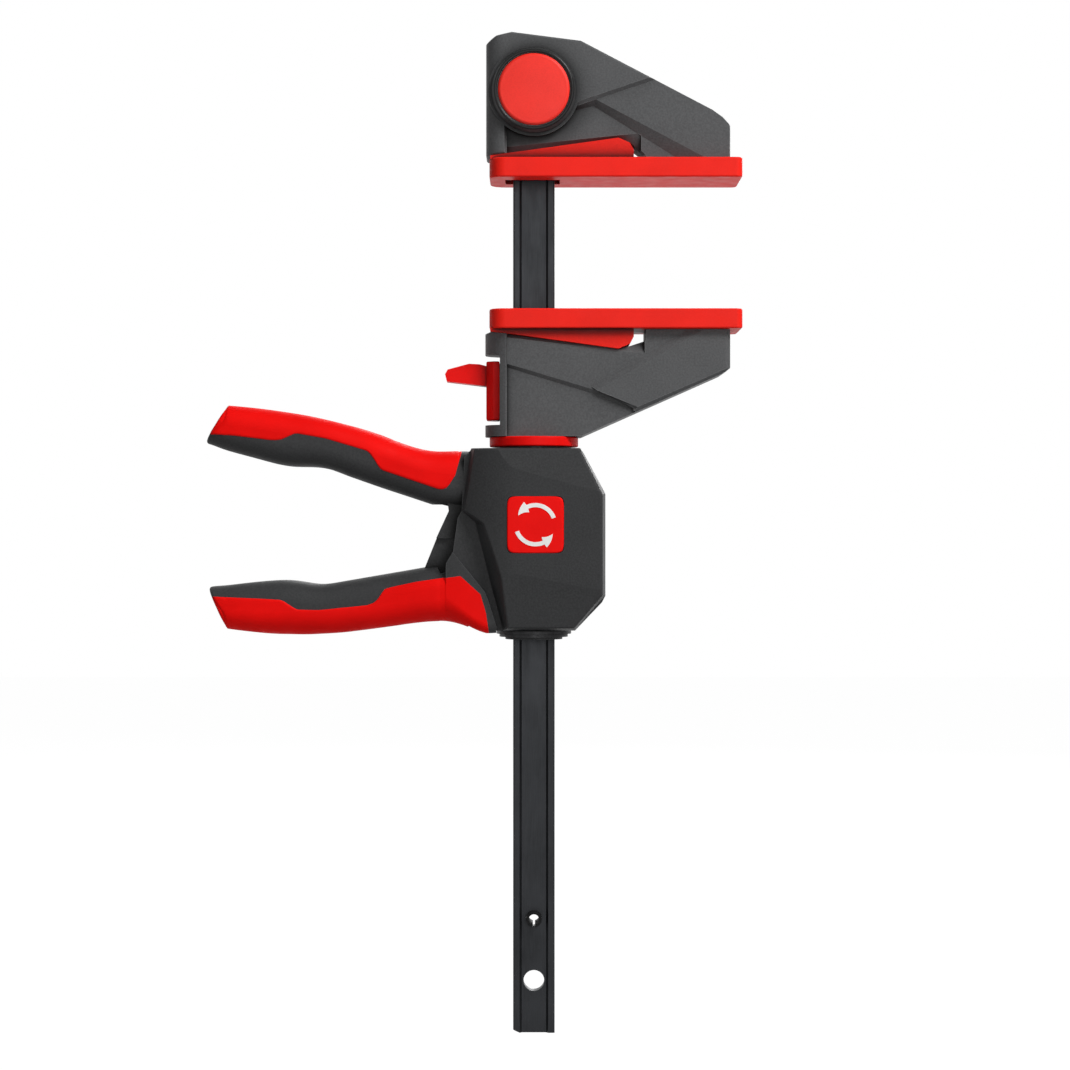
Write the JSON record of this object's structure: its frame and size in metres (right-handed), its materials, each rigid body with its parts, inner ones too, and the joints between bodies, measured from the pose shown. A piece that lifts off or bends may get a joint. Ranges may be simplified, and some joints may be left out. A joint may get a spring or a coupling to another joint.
{
  "type": "quick release bar clamp",
  "caption": "Bar clamp with a fixed and a sliding jaw, red pads and a squeeze handle that turns about the rail, for one-hand clamping.",
  "frame": {"origin": "on the rail's axis, level with the fixed pad's clamping face", "axes": "+Z along the rail towards the fixed jaw, +X along the jaws towards their tips, -Y is the front"},
  "size_m": [0.2051, 0.0455, 0.3837],
  "materials": {
    "rail_steel": "burnished dark steel",
    "bright_steel": "zinc plated",
    "plate_steel": "hardened, oiled",
    "spring_steel": "drawn wire",
    "jaw_plastic": "fine moulded grain",
    "housing_plastic": "fine moulded grain",
    "grip_rubber": "soft satin",
    "pad_plastic": "soft satin",
    "red_plastic": "satin"
  },
  "bodies": {
    "rail": {"rail": "rail_steel", "stop_pin": "bright_steel", "fixed_jaw": "jaw_plastic", "fixed_pad": "pad_plastic", "lock_cover": "jaw_plastic", "lock_spring": "spring_steel"},
    "lock": {"lock_button": "red_plastic", "lock_pin": "bright_steel", "yoke_screws": "bright_steel"},
    "carriage": {"sliding_jaw": "jaw_plastic", "sliding_pad": "pad_plastic", "core_sleeve": "housing_plastic", "head_pin": "bright_steel", "collar_ring": "red_plastic", "top_washer": "bright_steel", "end_washer": "bright_steel", "retaining_ring": "bright_steel", "fulcrum_pin": "bright_steel", "brake_spring": "spring_steel", "drive_spring": "spring_steel"},
    "release": {"release_slide": "red_plastic"},
    "brake": {"brake_plate_upper": "plate_steel", "brake_plate_lower": "plate_steel"},
    "handle": {"handle_frame": "housing_plastic", "handle_grip": "grip_rubber", "cover_front": "housing_plastic", "cover_rear": "housing_plastic", "cover_screws": "bright_steel", "badge": "red_plastic", "pivot_pin": "bright_steel", "lever_spring": "spring_steel"},
    "lever": {"lever_core": "housing_plastic", "lever_grip": "grip_rubber", "drive_fork": "plate_steel", "fork_rivets": "bright_steel"},
    "drive": {"thrust_ring": "plate_steel", "drive_plate_1": "plate_steel", "drive_plate_2": "plate_steel", "drive_plate_3": "plate_steel"}
  },
  "joints": [
    {"name": "lock_press", "type": "slide", "parent": "rail", "child": "lock", "axis": [0, 1, 0], "range_m": [0, 0.005], "stiffness_N_per_m": 500, "springref_m": -0.003, "deforming": ["lock_spring"]},
    {"name": "carriage_slide", "type": "slide", "parent": "rail", "child": "carriage", "axis": [0, 0, 1], "range_m": [-0.104, 0.0495]},
    {"name": "release_press", "type": "slide", "parent": "carriage", "child": "release", "axis": [0, 0, -1], "range_m": [0, 0.0018], "stiffness_N_per_m": 800, "springref_m": -0.002},
    {"name": "brake_tilt", "type": "hinge", "parent": "carriage", "child": "brake", "pos_m": [0.0145, 0, -0.081], "axis": [0, -1, 0], "range_deg": [0, 4.3], "deforming": ["brake_spring"]},
    {"name": "handle_turn", "type": "hinge", "parent": "carriage", "child": "handle", "pos_m": [0, 0, -0.138], "axis": [0, 0, 1], "continuous": true},
    {"name": "lever_squeeze", "type": "hinge", "parent": "handle", "child": "lever", "pos_m": [-0.0195, 0, -0.1685], "axis": [0, 1, 0], "range_deg": [0, 14], "stiffness_Nm_per_rad": 0.6, "springref_deg": -14.32, "deforming": ["lever_spring"]},
    {"name": "drive_push", "type": "slide", "parent": "carriage", "child": "drive", "axis": [0, 0, -1], "range_m": [0, 0.0056], "deforming": ["drive_spring"]}
  ],
  "couplings": [
    {"joint": "brake_tilt", "follows": "release_press", "rad_per_m": 40.3},
    {"joint": "drive_push", "follows": "lever_squeeze", "m_per_rad": 0.02251}
  ]
}
